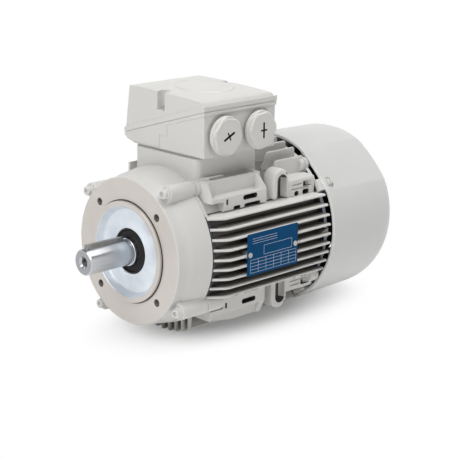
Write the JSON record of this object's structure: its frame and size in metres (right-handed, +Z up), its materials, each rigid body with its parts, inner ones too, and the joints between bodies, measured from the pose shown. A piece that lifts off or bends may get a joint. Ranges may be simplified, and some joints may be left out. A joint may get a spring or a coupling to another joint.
{
  "type": "electric motor",
  "caption": "Flange-mounted cage induction motor with a finned frame, keyed shaft end, fan cowl and a terminal box with a sloped lid on top.",
  "frame": {"origin": "below the middle of the motor's length, on the plane that it rests on, under the shaft axis", "axes": "+X along the shaft from the drive end to the fan, +Z up to the terminal box, -Y to the side with the cable entries"},
  "size_m": [0.3956, 0.198, 0.2665],
  "materials": {
    "painted_casting": "light grey paint on die-cast aluminium",
    "painted_sheet": "light grey paint on sheet steel",
    "rubber": "black, matt",
    "grey_plastic": "light grey moulding",
    "black_plastic": "black moulding",
    "blue_plate": "blue printed sheet with blank fields",
    "zinc_screw": "zinc plated",
    "bright_steel": "ground",
    "core_steel": "stacked sheets",
    "winding": "varnished copper wire",
    "brass": "bright"
  },
  "bodies": {
    "stator": {"stator_frame": "painted_casting", "drive_end_shield": "painted_casting", "fan_end_shield": "painted_casting", "fan_cowl": "painted_sheet", "terminal_box_base": "painted_casting", "terminal_box_lid": "painted_casting", "box_gasket": "rubber", "lid_gasket": "rubber", "shaft_seal": "rubber", "cable_plug_seal_1": "rubber", "cable_plug_seal_2": "rubber", "cable_plug_1": "grey_plastic", "cable_plug_2": "grey_plastic", "terminal_board": "black_plastic", "rating_plate": "blue_plate", "rating_plate_rivet_1": "zinc_screw", "rating_plate_rivet_2": "zinc_screw", "preload_spring": "bright_steel", "drive_bearing_outer_ring": "bright_steel", "fan_bearing_outer_ring": "bright_steel", "stator_core": "core_steel", "winding_head_drive_end": "winding", "winding_head_fan_end": "winding", "terminal_stud_1": "brass", "terminal_stud_2": "brass", "terminal_stud_3": "brass", "terminal_stud_4": "brass", "terminal_stud_5": "brass", "terminal_stud_6": "brass", "terminal_link_1": "brass", "terminal_link_2": "brass", "terminal_link_3": "brass", "earth_screw": "brass", "box_screw_1": "zinc_screw", "box_screw_2": "zinc_screw", "lid_screw_1": "zinc_screw", "lid_screw_2": "zinc_screw", "drive_shield_screw_1": "zinc_screw", "drive_shield_screw_2": "zinc_screw", "drive_shield_screw_3": "zinc_screw", "drive_shield_screw_4": "zinc_screw", "fan_shield_screw_1": "zinc_screw", "fan_shield_screw_2": "zinc_screw", "fan_shield_screw_3": "zinc_screw", "fan_shield_screw_4": "zinc_screw", "cowl_screw_1": "zinc_screw", "cowl_screw_2": "zinc_screw", "cowl_screw_3": "zinc_screw", "cowl_screw_4": "zinc_screw"},
    "rotor": {"shaft": "bright_steel", "shaft_key": "bright_steel", "rotor_core": "core_steel", "drive_bearing_inner_ring": "bright_steel", "fan_bearing_inner_ring": "bright_steel", "fan": "black_plastic", "fan_clip": "bright_steel"},
    "drive_ball_set": {"drive_bearing_balls": "bright_steel"},
    "fan_ball_set": {"fan_bearing_balls": "bright_steel"}
  },
  "joints": [
    {"name": "rotor_spin", "type": "hinge", "parent": "stator", "child": "rotor", "pos_m": [-0.13775, 0, 0.09852], "axis": [1, 0, 0], "continuous": true},
    {"name": "drive_balls_spin", "type": "hinge", "parent": "stator", "child": "drive_ball_set", "pos_m": [-0.11265, 0, 0.09852], "axis": [1, 0, 0], "continuous": true},
    {"name": "fan_balls_spin", "type": "hinge", "parent": "stator", "child": "fan_ball_set", "pos_m": [0.08185, 0, 0.09852], "axis": [1, 0, 0], "continuous": true}
  ],
  "couplings": [
    {"joint": "drive_balls_spin", "follows": "rotor_spin", "ratio": 0.402},
    {"joint": "fan_balls_spin", "follows": "rotor_spin", "ratio": 0.402}
  ]
}
